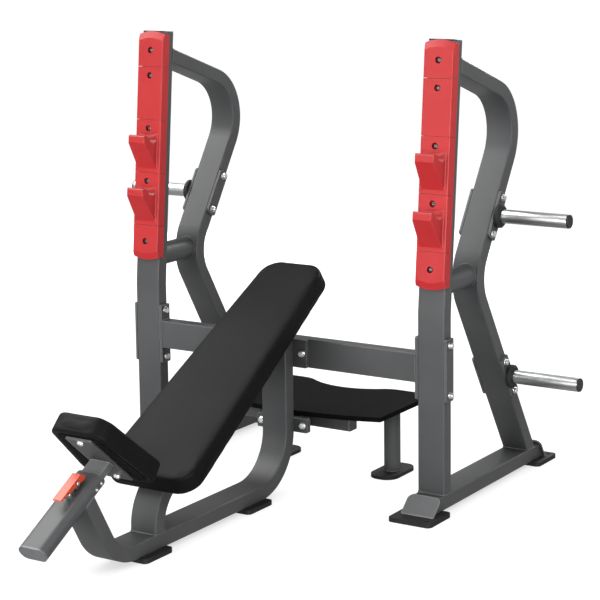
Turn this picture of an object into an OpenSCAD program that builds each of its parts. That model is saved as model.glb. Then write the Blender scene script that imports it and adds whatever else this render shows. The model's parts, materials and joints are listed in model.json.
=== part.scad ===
// Olympic incline bench press with plate storage and a spotter platform.
// Millimetres, Z up, front (seat end) at -Y. Every upright piece is drawn with its outer side at +X.

/* [Tubes] */
// Width of the main tubes
tube_w = 100; // [90:1:108]
// Thickness of the main tubes
tube_t = 50; // [44:1:54]
// Corner radius of the main tubes
tube_r = 5; // [3:0.5:8]

/* [Uprights] */
// Distance between the centre planes of the two uprights
upright_gap = 1162; // [1120:2:1220]
// Height of the uprights with their caps
upright_h = 1572; // [1480:1:1640]
// Height of the leaning upper part of the uprights
lean_h = 900; // [880:1:920]
// Backward lean of the upper uprights, in degrees
post_lean = 5; // [4:0.25:6]
// Radius of the bend in the uprights
post_bend_r = 300; // [200:10:400]
// Thickness of the caps on the uprights
post_cap_t = 5; // [3:0.5:8]
// Radius of the caps' top edges at the sides
post_cap_r = 4; // [2:0.5:4.5]
// Drop from the uprights' top to where the rear brace leaves them
brace_drop = 90; // [72:1:102]
// Distance of the brace's knee behind the front of the uprights
knee_y = 605; // [585:1:625]
// Drop from the uprights' top to the brace's knee
knee_drop = 252; // [237:1:272]
// Radius of the brace's knee
knee_r = 165; // [140:1:175]
// Distance of the brace's waist behind the front of the uprights
waist_y = 237; // [225:1:255]
// Height of the brace's waist
waist_z = 748; // [735:1:765]
// Radius of the brace's waist
waist_r = 150; // [125:1:175]
// Distance of the brace's foot behind the front of the uprights
brace_foot_y = 660; // [640:1:672]
// Height of the round link between upright and brace
link_z = 764; // [748:1:770]
// Radius of the round link
link_r = 40; // [30:0.5:43]

/* [Base] */
// Reach of the base tubes in front of the uprights
base_front = 98; // [85:1:120]
// Reach of the base tubes behind the front of the uprights
base_rear = 755; // [750:1:800]
// Slope of the front end plates, in degrees
front_slope = 42; // [38:1:50]
// Slope of the rear end plates, in degrees
rear_slope = 58; // [54:1:66]
// Thickness of the end plates
end_plate_t = 6; // [4:0.5:8]
// Length of the end plates up their slope
end_plate_l = 80; // [76:1:84]
// Overhang of the end plates beside the tube
end_plate_over = 11; // [4:1:16]
// Corner radius of the end plates
end_plate_r = 22; // [8:1:30]
// Width of the feet under the base tubes
foot_w = 160; // [130:1:180]
// Length of the feet under the base tubes
foot_l = 152; // [120:1:165]
// Thickness of every foot
foot_t = 15; // [10:1:20]
// Corner radius of every foot
foot_r = 16; // [8:1:30]
// Reach of the feet past the base tubes
foot_reach = 57; // [45:1:70]
// Radius of the anchor holes
anchor_r = 7; // [5:0.5:8]
// Distance of an anchor hole from the two edges of its foot
anchor_inset = 24; // [18:1:30]

/* [Rack covers] */
// Height of one rack module along the upright
rack_pitch = 188.5; // [180:0.5:190]
// Drop from the uprights' top to the top of the covers, along the upright
rack_drop = 1.75; // [1:0.25:9]
// Length of the end covers
rack_end = 126; // [115:1:130]
// Thickness of the covers in front of the upright
rack_front = 20; // [16:0.5:24]
// Thickness of the covers beside the upright
rack_side = 5; // [3:0.5:7]
// Reach of the covers along the sides of the upright
rack_wrap = 19; // [10:0.5:25]
// Radius of the covers' front edges
rack_edge = 7; // [3:0.5:9]
// Gap between two modules
rack_seam = 1.2; // [0.6:0.1:2]
// Radius of the arched ends of the rack
rack_arch = 150; // [120:5:220]
// Height of the bevel at the arched ends
bevel_h = 24; // [15:1:30]
// Depth of the bevel at the arched ends
bevel_d = 10; // [6:1:14]
// Distance of a module's screw below its upper seam
screw_drop = 31; // [24:1:33]
// Distance of an end cover's screw from its seam
end_screw = 59; // [50:1:64]
// Radius of the screw pockets
pocket_r = 11.5; // [10:0.5:13]
// Depth of the screw pockets
pocket_d = 12; // [9:0.5:14]

/* [Bar hooks] */
// Width of a hook at its root
root_w = 84; // [78:1:88]
// Width of a hook at its lip
lip_w = 70; // [60:1:76]
// Reach of a hook's lip
hook_out = 69; // [63:1:76]
// Height of a hook's lip above the module's lower seam
lip_z = 134; // [128:1:138]
// Height of the upright front of the lip
lip_h = 26; // [18:1:30]
// Thickness of the lip
lip_t = 16; // [12:1:20]
// Radius of the lip's front corners
lip_corner = 5; // [3:0.5:8]
// Radius of the fillets beside a hook
root_fillet = 6; // [4:0.5:7]
// Radius of the fillet under a hook
toe_r = 20; // [10:1:24]
// Height of the hook's lower tip above the seam
tip_z = 16; // [8:1:24]
// Radius of the saddle that holds the bar
saddle_r = 17; // [15:0.5:19]
// Height of the saddle's bottom above the seam
saddle_z = 106; // [102:1:110]
// Depth of the ramp behind the saddle
ramp = 4; // [2:0.5:6]
// Height of the ramp's corners above the seam
ramp_top = 144; // [141:0.5:146]
// Height of the ramp's middle above the seam
ramp_mid = 134; // [131:0.5:137]
// Radius of the ramp's hollow
scoop_r = 350; // [250:10:450]

/* [Weight horns] */
// Height of the upper horns
horn_high = 955; // [930:1:985]
// Height of the lower horns
horn_low = 375; // [330:1:420]
// Radius of the horns
horn_r = 24; // [22:0.5:24.5]
// Length of a horn outside its flange
horn_l = 262; // [200:1:320]
// Length of a horn's end cap
horn_cap_l = 6; // [4:0.5:16]
// Radius of the collars
collar_r = 41; // [36:0.5:46]
// Radius of the collars' front face
collar_neck = 33; // [29:0.5:33.5]
// Length of the collars
collar_l = 19; // [12:1:26]
// Thickness of the horns' flange and backing plates
flange_t = 8; // [5:0.5:10]
// Length of the horns' plates
flange_l = 172; // [165:1:190]
// Distance of a flange bolt from the horn's axis
flange_bolt = 68; // [62:0.5:70]

/* [Crossbeam] */
// Height of the crossbeam's centre
beam_z = 488; // [470:1:500]
// Thickness of the beam's end plates
beam_plate_t = 10; // [6:0.5:12]
// Thickness of the backing plates
backing_t = 8; // [5:0.5:10]
// Height of the end and backing plates
beam_plate_h = 212; // [200:1:230]
// Distance of a beam bolt from the beam's centre
beam_bolt = 84.5; // [78:0.5:90]

/* [Fasteners] */
// Radius of the bolts
bolt_r = 6; // [4:0.5:7]
// Width of the bolt heads across flats
bolt_af = 19; // [15:0.5:21]
// Height of the bolt heads
bolt_head = 7; // [5:0.5:10]
// Radius of the washers
washer_r = 12; // [11:0.5:13]
// Thickness of the washers
washer_t = 2; // [1.5:0.5:4]
// Radius of the rack, pad and seat screws
screw_r = 4; // [3:0.5:5]
// Radius of a screw head
screw_head_r = 8; // [6.5:0.5:9]
// Height of a screw head
screw_head = 5; // [3:0.5:6]
// Clearance round bolts and screws
bolt_gap = 0.25; // [0.1:0.05:0.6]

/* [Bench] */
// Thickness of the bench's mount plates
mount_t = 12; // [8:0.5:14]
// Width of the bench's mount plates
mount_w = 206; // [196:1:230]
// Distance of a mount bolt from the middle
mount_bolt = 84; // [76:0.5:88]
// Radius of the bench tube's rear bend
bench_rear_r = 180; // [140:1:200]
// Radius of the bench tube's front bend
bench_front_r = 150; // [125:1:170]
// Length of the bench's feet
bench_foot_l = 146; // [120:1:160]
// Width of the bench's feet
bench_foot_w = 150; // [120:1:170]
// Distance of the front foot's middle in front of the uprights
bench_foot_front = 829; // [800:1:840]
// Distance of the rear foot's middle in front of the uprights
bench_foot_rear = 259; // [250:1:400]

/* [Back pad] */
// Incline of the back pad and the seat sleeve, in degrees
pad_incline = 30; // [28:0.5:31]
// Distance of the pad's lower edge in front of the uprights
pad_y = 822; // [805:1:828]
// Height of the pad's lower edge
pad_z = 254; // [250:1:270]
// Length of the back pad
pad_l = 1063; // [960:1:1080]
// Width of the back pad at its lower end
pad_w_low = 363; // [320:1:400]
// Width of the back pad at its upper end
pad_w_high = 246; // [230:1:300]
// Thickness of the back pad at its edge
pad_t = 65; // [50:1:75]
// Height of the crown of both pads
pad_crown = 4; // [1:0.5:8]
// Rounding of both pads' upper edge
pad_edge_r = 10; // [7:1:16]
// Draw-in of both pads' sides towards the top
pad_draw = 1; // [0.5:0.5:6]
// Corner radius of the back pad
pad_r = 72; // [45:1:80]
// Distance of the rail's foot in front of the uprights
rail_y = 791; // [775:1:800]
// Radius of the rail's bend
rail_r = 150; // [130:1:155]
// Thickness of the pad brackets
bracket_t = 4; // [3:0.5:8]
// Width of the pad brackets
bracket_w = 180; // [150:1:190]
// Length of the pad brackets
bracket_l = 90; // [70:1:110]
// Distance of the lower bracket from the pad's lower edge
bracket_low = 220; // [180:1:400]
// Thickness of the boards in the pads
board_t = 12; // [9:0.5:18]
// Width of the covering turned in round the boards
rim = 26; // [20:1:32]
// Clearance between a pad and its board
pad_gap = 0.3; // [0.2:0.05:0.5]

/* [Seat] */
// Distance of the sleeve's lower end in front of the uprights
sleeve_y = 1338.5; // [1330:0.5:1356]
// Height of the sleeve's lower end
sleeve_z = 153; // [142:0.5:160]
// Length of the sleeve
sleeve_l = 314; // [312:1:326]
// Overhang of the sleeve beside the bench tube
sleeve_over = 1; // [0.5:0.25:3]
// Thickness of the sleeve
sleeve_t = 50; // [47:1:54]
// Wall of the sleeve
sleeve_wall = 3; // [2:0.25:4]
// Distance from the sleeve's lower end to the bench tube
sleeve_joint = 232; // [230:1:242]
// Thickness of the sleeve's end cap and the liner's rim
sleeve_cap_t = 4; // [3:0.5:6]
// Depth of the liner in the sleeve
liner_l = 58; // [50:1:70]
// Width of the stem
stem_w = 74; // [66:1:78]
// Thickness of the stem
stem_t = 26; // [22:1:30]
// Distance from the sleeve's lower end to the stem's end
stem_start = 84; // [80:1:85]
// Length of the glide on the stem's end
glide_l = 18; // [12:1:22]
// Sliding clearance of stem and glide
slide_gap = 0.2; // [0.1:0.05:0.4]
// Distance from the sleeve's lower end to the seat plate
seat_s = 374; // [374:1:390]
// Height of the seat plate's middle above the sleeve's axis
seat_h = 18; // [14:1:22]
// Tilt of the seat, falling to the rear, in degrees
seat_tilt = 40.5; // [38:0.5:43]
// Width of the seat plate
seat_plate_w = 100; // [90:1:110]
// Distance of the seat plate's ends inside the pad's ends
seat_plate_inset = 31.5; // [28:0.5:37]
// Thickness of the seat plate
seat_plate_t = 6; // [4:0.5:8]
// Distance of a seat bolt from the plate's end
seat_bolt_inset = 18; // [14:1:24]
// Length of the seat pad
seat_l = 323; // [302:1:332]
// Distance of the seat pad's middle in front of the seat plate's
seat_ahead = 7.5; // [0:0.5:12]
// Width of the seat pad at the front
seat_w_front = 198; // [180:1:210]
// Width of the seat pad at the rear
seat_w_rear = 290; // [250:1:300]
// Thickness of the seat pad at its edge
seat_t = 67; // [50:1:70]
// Corner radius of the seat pad
seat_r = 53; // [40:1:60]

/* [Release lever] */
// Distance from the sleeve's lower end to the lever's pivot
pivot_s = 248; // [247:1:256]
// Height of the pivot above the sleeve's axis
pivot_h = 44; // [43:0.5:47]
// Radius of the pivot pin
pivot_r = 4; // [3:0.25:5]
// Width of the lever
lever_w = 31; // [29:0.5:36]
// Reach of the lever's grip from the pivot
lever_l = 86; // [76:1:96]
// Height of the lever's top above the pivot
lever_top = 14; // [12:0.5:18]
// Wall of the lever's sides
lever_wall = 6; // [5:0.25:6.5]
// Distance of the plunger from the pivot
plunger_arm = 39; // [36:0.5:42]
// Radius of the plunger
plunger_r = 5; // [4:0.25:6]
// Running clearance of pins
pin_gap = 0.05; // [0.02:0.01:0.1]

/* [Platform] */
// Height of the platform's top
platform_z = 275; // [268:1:290]
// Thickness of the platform's board
platform_t = 17; // [12:1:20]
// Half of the platform's width
platform_half = 340; // [320:1:380]
// Distance of the board's front behind the front of the uprights
platform_front = 22; // [15:1:40]
// Distance of the board's rear behind the front of the uprights
platform_rear = 450; // [430:1:480]
// Radius of the board's arched front edge
front_arch = 1000; // [800:10:1400]
// Corner radius of the board
platform_r = 36; // [20:1:50]
// Half width of the wave in the rear edge
wave_half = 200; // [170:1:230]
// Depth of the wave in the rear edge
wave_d = 63; // [40:1:75]
// Width and height of the platform's crossbar
bar_t = 50; // [40:1:54]
// Half length of the platform's crossbar
bar_half = 217; // [200:1:225]
// Distance of the crossbar behind the front of the uprights
bar_y = 80; // [70:1:120]
// Thickness of the crossbar's end caps
bar_cap_t = 3; // [2:0.5:5]
// Distance of a leg from the middle plane
leg_x = 240; // [236:1:280]
// Distance of the legs behind the front of the uprights
leg_y = 336; // [300:1:350]
// Radius of the legs
leg_r = 29.5; // [22:0.5:34]
// Thickness of the legs' feet
leg_foot_t = 12; // [8:1:16]
// Width of the legs' feet
leg_foot_w = 105; // [90:1:120]
// Length of the legs' feet
leg_foot_l = 192; // [160:1:210]

/* [Hidden] */
$fn = 64;

// Lap and swell that join a bend to its straight runs as one body
bend_lap = 0.6;
bend_swell = 0.06;
cap_in = 0.2;
// Reach of a cutting block past what it cuts
far = 400;
// Long reach for blocks that cut a whole side away
vast = 2400;

half_w = tube_w/2;
half_t = tube_t/2;
base_top = foot_t + tube_t;
floor_mid = foot_t + half_t;
front_y = -sleeve_y - sleeve_cap_t*cos(pad_incline) - sleeve_t/2*sin(pad_incline);
rear_y = base_rear + foot_reach;
y_mid = (front_y + rear_y)/2;

post_bend_z = upright_h - lean_h;
brace_top_z = upright_h - brace_drop;
knee_z = upright_h - knee_drop;
post_run = (lean_h - half_t*sin(post_lean))/cos(post_lean) - post_cap_t;
post_path = [
  [half_t, base_top],
  [half_t, post_bend_z],
  [half_t + post_run*sin(post_lean), post_bend_z + post_run*cos(post_lean)]
];
post_back = half_t + (brace_top_z - post_bend_z)*tan(post_lean) + half_t/cos(post_lean);
knee = [knee_y, knee_z];
waist = [waist_y, waist_z];
brace_foot = [brace_foot_y, base_top];
brace_start = [post_back, brace_top_z];
brace_path = [
  brace_start - tube_w*away(brace_start, knee),
  knee,
  waist,
  brace_foot + tube_w*away(waist, brace_foot)
];
brace_bends = [knee_r, waist_r];
waist_mid = bend_middle(brace_path, brace_bends, 2);

bench_y = -mount_t - half_t;
sleeve_dir = [cos(pad_incline), sin(pad_incline)];
sleeve_up = [-sin(pad_incline), cos(pad_incline)];
sleeve_end = [-sleeve_y, sleeve_z];
joint = sleeve_end + sleeve_joint*sleeve_dir;
front_corner = joint - (joint[1] - floor_mid)/cos(pad_incline)*sleeve_up;
bench_top = beam_z + tube_w + vast/8;
bench_path = [[bench_y, bench_top], [bench_y, floor_mid], front_corner, joint];

pad_foot = [-pad_y, pad_z];
rail_down = pad_t + bracket_t + half_t;
rail_up = (pad_y - rail_y - rail_down*sin(pad_incline))/cos(pad_incline);
rail_corner = pad_foot + rail_up*sleeve_dir - rail_down*sleeve_up;
rail_path = [[-rail_y, base_top], rail_corner, rail_corner + pad_l*sleeve_dir];
under_pad = pad_t + bracket_t;
bracket_high = (pad_y + bench_y - under_pad*sin(pad_incline))/cos(pad_incline);

seat_mid = sleeve_end + seat_s*sleeve_dir + seat_h*sleeve_up;
seat_plate_l = seat_l - 2*seat_plate_inset;
seat_bolt = seat_plate_l/2 - seat_bolt_inset;
sleeve_w = tube_w + 2*sleeve_over;
cavity_w = sleeve_w - 2*sleeve_wall;
cavity_t = sleeve_t - 2*sleeve_wall;

bar_top = platform_z - platform_t;
bar_mid = bar_top - bar_t/2;
lower_mount_h = bar_t;
frame_plate_t = 8;

// Side-plane points are [y, z]
function away(a, b) = (b - a)/norm(b - a);
function heading(a, b) = atan2(b[1] - a[1], b[0] - a[0]);
function turn(d) = d > 180 ? d - 360 : d < -180 ? d + 360 : d;
function delta(p, i) = turn(heading(p[i], p[i + 1]) - heading(p[i - 1], p[i]));
function tangent(p, rad, i) =
  i <= 0 || i >= len(p) - 1 ? 0 : rad[i - 1]*tan(abs(delta(p, i))/2);
function bend_middle(p, rad, i) =
  let (h = heading(p[i - 1], p[i]), q = p[i] - tangent(p, rad, i)*[cos(h), sin(h)])
  q + sign(delta(p, i))*rad[i - 1]*[-sin(h), cos(h)];
function along(a, b, z) = a[0] + (b[0] - a[0])*(z - a[1])/(b[1] - a[1]);

module whole() translate([0, -y_mid, 0]) children();
module side(s) translate([s*upright_gap/2, -y_mid, 0]) mirror([s < 0 ? 1 : 0, 0, 0]) children();
module both() {
  side(-1) children();
  side(1) children();
}
module mirrored() {
  children();
  mirror([1, 0, 0]) children();
}

module rounded(w, l, r) {
  square([w - 2*r, l], center = true);
  square([w, l - 2*r], center = true);
  for (x = [-1, 1], y = [-1, 1]) translate([x*(w/2 - r), y*(l/2 - r)]) circle(r);
}

module oval(w, t) {
  square([w - t, t], center = true);
  for (x = [-1, 1]) translate([x*(w - t)/2, 0]) circle(t/2);
}

// Rectangular tube along a path in the side plane, with a revolved bend at each inner point
module bent_tube(p, rad, w, t, r) {
  last = len(p) - 2;
  for (i = [0:last]) {
    h = heading(p[i], p[i + 1]);
    s = tangent(p, rad, i) - (i > 0 ? bend_lap : 0);
    e = tangent(p, rad, i + 1) - (i < last ? bend_lap : 0);
    translate([0, p[i][0] + s*cos(h), p[i][1] + s*sin(h)]) rotate([h - 90, 0, 0])
      linear_extrude(norm(p[i + 1] - p[i]) - s - e) rounded(w, t, r);
    if (i < last) {
      d = delta(p, i + 1);
      c = bend_middle(p, rad, i + 1);
      translate([0, c[0], c[1]]) rotate(a = 120, v = [1, 1, 1])
        rotate([0, 0, d > 0 ? h - 90 : h + 90 + d])
          rotate_extrude(angle = abs(d)) translate([rad[i], 0])
            rounded(t + bend_swell, w + bend_swell, r);
    }
  }
}

// Bolt along +Z from under its head, with washers and a nut past the grip
module through_bolt(grip) {
  hex_r = bolt_af/sqrt(3);
  translate([0, 0, -washer_t - bolt_head]) cylinder(h = bolt_head, r = hex_r, $fn = 6);
  translate([0, 0, -washer_t]) cylinder(h = washer_t, r = washer_r);
  cylinder(h = grip + washer_t, r = bolt_r);
  translate([0, 0, grip]) cylinder(h = washer_t, r = washer_r);
  translate([0, 0, grip + washer_t]) cylinder(h = bolt_head, r = hex_r, $fn = 6);
  translate([0, 0, grip + washer_t + bolt_head]) cylinder(h = bolt_head/2, r = bolt_r);
}

// Button screw along +Z from under its head, with a hexagon socket
module button_screw(l) {
  difference() {
    translate([0, 0, -screw_head]) cylinder(h = screw_head, r1 = screw_head_r*0.72, r2 = screw_head_r);
    translate([0, 0, -screw_head - 1]) cylinder(h = screw_head*0.6 + 1, r = screw_r*0.8, $fn = 6);
  }
  cylinder(h = l, r = screw_r);
}

// Uprights

module on_post() translate([0, half_t, post_bend_z]) rotate([-post_lean, 0, 0]) children();

module front_of_post_back() {
  on_post() translate([-far, -far, -vast/2]) cube([2*far, far + half_t, vast]);
  translate([-far, -far, 0]) cube([2*far, far + tube_t, vast]);
}

rack_y = -half_t - rack_front;
rack_start = post_run + post_cap_t - rack_drop - rack_end - 3*rack_pitch;
rack_tops = [for (i = [1:3]) rack_start + i*rack_pitch];
rack_high = rack_start + 3*rack_pitch;
screw_zs = [
  rack_start - end_screw,
  rack_tops[0] - screw_drop,
  rack_tops[1] - screw_drop,
  rack_tops[2] - screw_drop,
  rack_high + end_screw
];
screw_in = rack_front - pocket_d;
screw_deep = 16;

module at_screws() for (z = screw_zs) translate([0, rack_y, z]) rotate([-90, 0, 0]) children();

module at_beam_bolts() for (z = [-1, 1]) translate([0, half_t, beam_z + z*beam_bolt]) children();

module across_tube(r) translate([-far/2, 0, 0]) rotate([0, 90, 0]) cylinder(h = far, r = r);

module post() {
  difference() {
    bent_tube(post_path, [post_bend_r], tube_w, tube_t, tube_r);
    on_post() at_screws() cylinder(h = rack_front + screw_deep + 1, r = screw_r + bolt_gap);
    at_beam_bolts() across_tube(bolt_r + bolt_gap);
  }
}

// The cap's two top edges at the sides are round
module post_cap() on_post() translate([0, 0, post_run]) intersection() {
  linear_extrude(tube_t) rounded(tube_w, tube_t, tube_r);
  translate([0, 0, post_cap_t - half_t]) rotate([90, 0, 0])
    linear_extrude(2*tube_t, center = true) rounded(tube_w - cap_in, tube_t, post_cap_r);
}

module at_horns() {
  for (z = [horn_high, horn_low]) {
    upper = z > waist_z;
    a = upper ? knee : waist;
    b = upper ? waist : brace_foot;
    translate([0, along(a, b, z), z]) rotate([heading(b, a) - 90, 0, 0]) children();
  }
}

module at_flange_bolts() for (z = [-1, 1]) translate([0, 0, z*flange_bolt]) children();

module brace() {
  difference() {
    bent_tube(brace_path, brace_bends, tube_w, tube_t, tube_r);
    front_of_post_back();
    translate([-far, 0, base_top - far]) cube([2*far, vast, far]);
    at_horns() at_flange_bolts() across_tube(bolt_r + bolt_gap);
  }
}

module link() {
  difference() {
    translate([0, 0, link_z]) rotate([-90, 0, 0]) cylinder(h = waist_mid[0], r = link_r);
    front_of_post_back();
    translate([-far, waist_mid[0], waist_mid[1]]) rotate([0, 90, 0])
      cylinder(h = 2*far, r = waist_r + half_t + bend_swell/2);
  }
}

module at_front_end() translate([0, -base_front, foot_t]) rotate([front_slope, 0, 0]) children();
module at_rear_end()
  translate([0, base_rear, foot_t]) mirror([0, 1, 0]) rotate([rear_slope, 0, 0]) children();
module past_end() translate([-far, -far, -end_plate_t]) cube([2*far, 2*far, far]);

module base() {
  difference() {
    bent_tube([[-base_front, floor_mid], [base_rear, floor_mid]], [], tube_w, tube_t, tube_r);
    at_front_end() past_end();
    at_rear_end() past_end();
  }
}

module end_plate() {
  w = tube_w + 2*end_plate_over;
  straight = end_plate_l - end_plate_r;
  translate([0, 0, -end_plate_t]) linear_extrude(end_plate_t) {
    translate([0, (straight - foot_t)/2]) square([w, straight + foot_t], center = true);
    translate([0, end_plate_l/2]) rounded(w, end_plate_l, end_plate_r);
  }
}

module end_plates() {
  difference() {
    union() {
      at_front_end() end_plate();
      at_rear_end() end_plate();
    }
    translate([-far, -vast/2, foot_t - far]) cube([2*far, vast, far]);
  }
}

module foot(out) {
  difference() {
    linear_extrude(foot_t) rounded(foot_w, foot_l, foot_r);
    translate([foot_w/2 - anchor_inset, out*(foot_l/2 - anchor_inset), -1])
      cylinder(h = foot_t + 2, r = anchor_r);
  }
}

module feet() {
  translate([0, -base_front - foot_reach + foot_l/2, 0]) foot(-1);
  translate([0, base_rear + foot_reach - foot_l/2, 0]) foot(1);
}

// Rack covers

module cover_profile() {
  w = tube_w + 2*rack_side;
  front = rack_front + rack_wrap;
  difference() {
    translate([0, rack_y]) {
      translate([0, (front + rack_edge)/2]) square([w, front - rack_edge], center = true);
      translate([0, rack_edge]) square([w - 2*rack_edge, 2*rack_edge], center = true);
      for (x = [-1, 1]) translate([x*(w/2 - rack_edge), rack_edge]) circle(rack_edge);
    }
    translate([-half_w, -half_t]) square([tube_w, far]);
  }
}

module cover(z0, z1) {
  translate([0, 0, z0 + rack_seam/2]) linear_extrude(z1 - z0 - rack_seam) cover_profile();
}

module pockets() {
  at_screws() translate([0, 0, -far]) cylinder(h = far + pocket_d, r = pocket_r);
  at_screws() cylinder(h = rack_front + 1, r = screw_r + bolt_gap);
}

// The lip's inner slope touches the saddle's circle below it and the lip's round top above it
lip_r = lip_t/2;
lip_mid = [hook_out - lip_r, lip_z - lip_r];
saddle = [ramp + saddle_r, saddle_z + saddle_r];
touch_a = heading(saddle, lip_mid) - acos((saddle_r + lip_r)/norm(lip_mid - saddle));
slope_side = [cos(touch_a), sin(touch_a)];

// The fillets run a little into the cover, and the round corners a little past the lip
fillet_in = 0.3;
toe_in = 0.8;
lip_low = [hook_out, lip_z - lip_h];
under_a = heading([0, tip_z], lip_low);
under_side = [sin(under_a), -cos(under_a)];
toe_out = toe_r - toe_in;
toe_mid = [toe_out, tip_z - (toe_r - toe_out*sin(under_a))/cos(under_a)];
draft = atan((root_w - lip_w)/2/hook_out);
plan_out = hook_out + fillet_in;
corner_out = plan_out - lip_corner;
corner_mid = [corner_out, root_w/2 - (lip_corner + corner_out*sin(draft))/cos(draft)];
fillet_out = root_fillet - fillet_in;
fillet_mid = [fillet_out, root_w/2 + (root_fillet - fillet_out*sin(draft))/cos(draft)];
round_n = 5;
round_steps = [for (i = [0:round_n]) draft + i*(90 - draft)/round_n];
round_sides = [for (a = round_steps) [sin(a), cos(a)]];
half_plan = concat(
  [for (i = [round_n:-1:0]) corner_mid + lip_corner*round_sides[i]],
  [for (side = round_sides) fillet_mid - root_fillet*side],
  [[-far, fillet_mid[1]]]
);
plan_end = len(half_plan) - 1;

// Hook from the side
module hook_profile() {
  difference() {
    union() {
      polygon([
        [-rack_edge, toe_mid[1]], toe_mid, toe_mid - toe_r*under_side, lip_low, [hook_out, lip_mid[1]],
        lip_mid, lip_mid - lip_r*slope_side, saddle + saddle_r*slope_side, saddle, [ramp, saddle[1]],
        [0, ramp_top], [-rack_edge, ramp_top]
      ]);
      translate(lip_mid) circle(lip_r);
    }
    translate(saddle) circle(saddle_r);
    translate(toe_mid) circle(toe_r);
  }
}

// Hook from above: it narrows from the cover to the lip
module hook_plan()
  polygon(concat(half_plan, [for (i = [plan_end:-1:0]) [half_plan[i][0], -half_plan[i][1]]]));

// Hollow that is cut into the ramp behind the bar: it starts at the saddle and deepens upward
module scoop() intersection() {
  translate([ramp, saddle[1]]) rotate([0, 0, heading([ramp, saddle[1]], [0, ramp_mid])])
    translate([0, -scoop_r, 0]) rotate([0, 90, 0]) cylinder(h = far, r = scoop_r, center = true);
  translate([0, saddle[1], -root_w]) cube([saddle[0], far, 2*root_w]);
}

module hook(i) {
  z0 = rack_start + i*rack_pitch;
  on_post() difference() {
    union() {
      cover(z0, z0 + rack_pitch);
      translate([0, rack_y, z0]) rotate([90, 0, -90])
        difference() {
          intersection() {
            linear_extrude(2*root_w, center = true) hook_profile();
            translate([0, rack_pitch, 0]) rotate([90, 0, 0]) linear_extrude(rack_pitch) hook_plan();
          }
          scoop();
        }
    }
    pockets();
  }
}

module plain_cover() on_post() difference() {
  cover(rack_tops[1], rack_high);
  pockets();
}

// Arched end with a bevel that is part of a cone
module arched_end() {
  rotate([-90, 0, 0]) {
    cylinder(h = bevel_d, r1 = rack_arch - bevel_h, r2 = rack_arch);
    translate([0, 0, bevel_d]) cylinder(h = far, r = rack_arch);
  }
}

module end_covers() on_post() difference() {
  union() {
    intersection() {
      cover(rack_start - rack_end - rack_seam, rack_start);
      translate([0, rack_y, rack_start - rack_end + rack_arch]) arched_end();
    }
    intersection() {
      cover(rack_high, rack_high + rack_end + rack_seam);
      translate([0, rack_y, rack_high + rack_end - rack_arch]) arched_end();
    }
  }
  pockets();
}

module screws() on_post() at_screws() translate([0, 0, pocket_d]) button_screw(screw_in + screw_deep);

// Weight horns

module horn_plate(x) {
  translate([x, 0, 0]) rotate([0, 90, 0]) difference() {
    linear_extrude(flange_t) rounded(flange_l, tube_t, tube_t/5);
    for (z = [-1, 1]) translate([z*flange_bolt, 0, -1]) cylinder(h = flange_t + 2, r = bolt_r + bolt_gap);
  }
}

horn_x = half_w + flange_t;
collar_lip = 3;
neck_step = 2;

module horn() translate([horn_x, 0, 0]) rotate([0, 90, 0]) {
  cylinder(h = collar_l, r = horn_r - neck_step);
  translate([0, 0, collar_l]) cylinder(h = horn_l - collar_l, r = horn_r);
}

module collar() {
  translate([horn_x, 0, 0]) rotate([0, 90, 0]) difference() {
    rotate_extrude() polygon([
      [0, 0], [collar_r - collar_lip, 0], [collar_r, collar_lip], [collar_r, collar_l - 2*collar_lip],
      [collar_r - collar_lip, collar_l - collar_lip], [collar_neck, collar_l], [0, collar_l]
    ]);
    translate([0, 0, -1]) cylinder(h = collar_l + 2, r = horn_r - neck_step + pin_gap);
  }
}

module horn_cap() {
  lead = horn_cap_l/4;
  translate([horn_x + horn_l, 0, 0]) rotate([0, 90, 0]) {
    cylinder(h = horn_cap_l - lead, r = horn_r - 0.5);
    translate([0, 0, horn_cap_l - lead]) cylinder(h = lead, r1 = horn_r - 0.5, r2 = horn_r - 0.5 - lead);
  }
}

module horn_bolt() {
  at_flange_bolts() translate([-half_w - flange_t, 0, 0]) rotate([0, 90, 0])
    mirror([0, 0, 1]) translate([0, 0, -tube_w - 2*flange_t]) through_bolt(tube_w + 2*flange_t);
}

// Crossbeam

beam_half = upright_gap/2 - half_w - beam_plate_t;

module along_x(l) translate([-l/2, 0, 0]) rotate([0, 90, 0]) linear_extrude(l) children();

module at_mount_bolts(z) for (x = [-1, 1]) translate([x*mount_bolt, 0, z]) rotate([-90, 0, 0]) children();

module beam() {
  difference() {
    translate([0, half_t, beam_z]) along_x(2*beam_half) rounded(tube_w, tube_t, tube_r);
    at_mount_bolts(beam_z) translate([0, 0, -1]) cylinder(h = tube_t + 2, r = bolt_r + bolt_gap);
  }
}

module beam_plate(t) {
  difference() {
    translate([0, half_t, beam_z]) along_x(t) rounded(beam_plate_h, tube_t, tube_r);
    at_beam_bolts() across_tube(bolt_r + bolt_gap);
  }
}

module beam_bolt_set() {
  grip = beam_plate_t + tube_w + backing_t;
  at_beam_bolts() translate([-half_w - beam_plate_t, 0, 0]) rotate([0, 90, 0]) through_bolt(grip);
}

// Bench

module at_sleeve() translate([0, -sleeve_y, sleeve_z]) rotate([pad_incline, 0, 0]) children();
module at_pad() translate([0, -pad_y, pad_z]) rotate([pad_incline, 0, 0]) children();
module above_rail() at_pad() translate([-far, bracket_low, -under_pad]) cube([2*far, vast, far]);

module sleeve_outside() rotate([-90, 0, 0]) linear_extrude(sleeve_l) oval(sleeve_w, sleeve_t);

module main_tube() {
  difference() {
    bent_tube(bench_path, [bench_rear_r, bench_front_r], tube_w, tube_t, tube_r);
    above_rail();
    at_sleeve() sleeve_outside();
  }
}

module rail() {
  difference() {
    bent_tube(rail_path, [rail_r], tube_w, tube_t, tube_r);
    translate([-far, bench_y - half_t, 0]) cube([2*far, vast, vast]);
  }
}

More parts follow.
